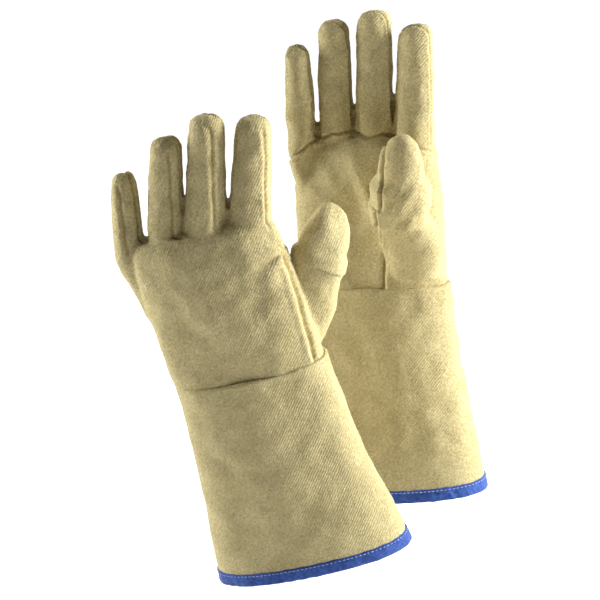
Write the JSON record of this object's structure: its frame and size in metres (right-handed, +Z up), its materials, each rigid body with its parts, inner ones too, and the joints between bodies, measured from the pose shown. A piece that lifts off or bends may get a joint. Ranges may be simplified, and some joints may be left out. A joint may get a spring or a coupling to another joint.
{
  "type": "pair of insulated gauntlet gloves",
  "caption": "Pair of long five-finger insulated gauntlets in napped pale yellow cloth with flared cuffs and blue bound hems, left back forward, right palm forward.",
  "frame": {"origin": "middle of the left glove's arm opening, at the fold of its hem", "axes": "+Z up towards the fingertips, +X to the thumb side of both gloves, -Y the side that shows the left glove's back and the right glove's palm"},
  "size_m": [0.3022, 0.2055, 0.4473],
  "materials": {
    "shell_cloth": "matt napped twill",
    "lining_cloth": "brushed jersey",
    "binding_tape": "ribbed woven tape"
  },
  "bodies": {
    "left_cuff": {"left_cuff_back": "shell_cloth", "left_cuff_palm": "shell_cloth", "left_cuff_lining": "lining_cloth", "left_hem_binding": "binding_tape"},
    "left_hand": {"left_back_panel": "shell_cloth", "left_palm_panel": "shell_cloth", "left_thumb_base_panel": "shell_cloth", "left_hand_lining": "lining_cloth"},
    "left_index": {"left_index_back": "shell_cloth", "left_index_front": "shell_cloth", "left_index_side_strip": "shell_cloth", "left_index_lining": "lining_cloth"},
    "left_middle": {"left_middle_back": "shell_cloth", "left_middle_front": "shell_cloth", "left_middle_side_strip": "shell_cloth", "left_middle_lining": "lining_cloth"},
    "left_ring": {"left_ring_back": "shell_cloth", "left_ring_front": "shell_cloth", "left_ring_side_strip": "shell_cloth", "left_ring_lining": "lining_cloth"},
    "left_little": {"left_little_back": "shell_cloth", "left_little_front": "shell_cloth", "left_little_side_strip": "shell_cloth", "left_little_lining": "lining_cloth"},
    "left_thumb": {"left_thumb_back": "shell_cloth", "left_thumb_front": "shell_cloth", "left_thumb_side_strip": "shell_cloth", "left_thumb_lining": "lining_cloth"},
    "right_cuff": {"right_cuff_back": "shell_cloth", "right_cuff_palm": "shell_cloth", "right_cuff_lining": "lining_cloth", "right_hem_binding": "binding_tape"},
    "right_hand": {"right_back_panel": "shell_cloth", "right_palm_panel": "shell_cloth", "right_thumb_base_panel": "shell_cloth", "right_hand_lining": "lining_cloth"},
    "right_index": {"right_index_back": "shell_cloth", "right_index_front": "shell_cloth", "right_index_side_strip": "shell_cloth", "right_index_lining": "lining_cloth"},
    "right_middle": {"right_middle_back": "shell_cloth", "right_middle_front": "shell_cloth", "right_middle_side_strip": "shell_cloth", "right_middle_lining": "lining_cloth"},
    "right_ring": {"right_ring_back": "shell_cloth", "right_ring_front": "shell_cloth", "right_ring_side_strip": "shell_cloth", "right_ring_lining": "lining_cloth"},
    "right_little": {"right_little_back": "shell_cloth", "right_little_front": "shell_cloth", "right_little_side_strip": "shell_cloth", "right_little_lining": "lining_cloth"},
    "right_thumb": {"right_thumb_back": "shell_cloth", "right_thumb_front": "shell_cloth", "right_thumb_side_strip": "shell_cloth", "right_thumb_lining": "lining_cloth"}
  },
  "joints": [
    {"name": "left_wrist", "type": "hinge", "parent": "left_cuff", "child": "left_hand", "pos_m": [-0.05007, -0.0228, 0.15995], "axis": [-0.9644, 0.1035, -0.2433], "range_deg": [-18, 18]},
    {"name": "left_index_bend", "type": "hinge", "parent": "left_hand", "child": "left_index", "pos_m": [-0.04983, -0.02564, 0.2796], "axis": [-0.9974, 0.0592, 0.0418], "range_deg": [-8, 75]},
    {"name": "left_middle_bend", "type": "hinge", "parent": "left_hand", "child": "left_middle", "pos_m": [-0.08353, -0.02484, 0.27591], "axis": [-0.9977, 0.0617, 0.0263], "range_deg": [-8, 75]},
    {"name": "left_ring_bend", "type": "hinge", "parent": "left_hand", "child": "left_ring", "pos_m": [-0.11452, -0.02026, 0.26496], "axis": [-0.9979, 0.0645, 0.0091], "range_deg": [-8, 75]},
    {"name": "left_little_bend", "type": "hinge", "parent": "left_hand", "child": "left_little", "pos_m": [-0.14136, -0.01316, 0.25241], "axis": [-0.9926, 0.0805, -0.0907], "range_deg": [-8, 75]},
    {"name": "left_thumb_bend", "type": "hinge", "parent": "left_hand", "child": "left_thumb", "pos_m": [0.00339, -0.01077, 0.24497], "axis": [-0.9265, 0.1458, 0.3469], "range_deg": [-8, 45]},
    {"name": "right_wrist", "type": "hinge", "parent": "right_cuff", "child": "right_hand", "pos_m": [0.05033, 0.1072, 0.19765], "axis": [0.9646, -0.2588, 0.0506], "range_deg": [-18, 18]},
    {"name": "right_index_bend", "type": "hinge", "parent": "right_hand", "child": "right_index", "pos_m": [0.0767, 0.08146, 0.31343], "axis": [0.9659, -0.2582, -0.0192], "range_deg": [-8, 34]},
    {"name": "right_middle_bend", "type": "hinge", "parent": "right_hand", "child": "right_middle", "pos_m": [0.04541, 0.09183, 0.3188], "axis": [0.966, -0.2583, -0.0105], "range_deg": [-8, 34]},
    {"name": "right_ring_bend", "type": "hinge", "parent": "right_hand", "child": "right_ring", "pos_m": [0.01541, 0.09917, 0.31402], "axis": [0.9657, -0.2587, 0.0227], "range_deg": [-8, 75]},
    {"name": "right_little_bend", "type": "hinge", "parent": "right_hand", "child": "right_little", "pos_m": [-0.01159, 0.1032, 0.30425], "axis": [0.9649, -0.2588, 0.0436], "range_deg": [-8, 75]},
    {"name": "right_thumb_bend", "type": "hinge", "parent": "right_hand", "child": "right_thumb", "pos_m": [0.04875, 0.06428, 0.27616], "axis": [-0.2426, -0.946, -0.2149], "range_deg": [-8, 30]},
    {"name": "pair_apart", "type": "slide", "parent": "left_cuff", "child": "right_cuff", "axis": [1, 0, 0], "range_m": [0, 0.25]}
  ]
}
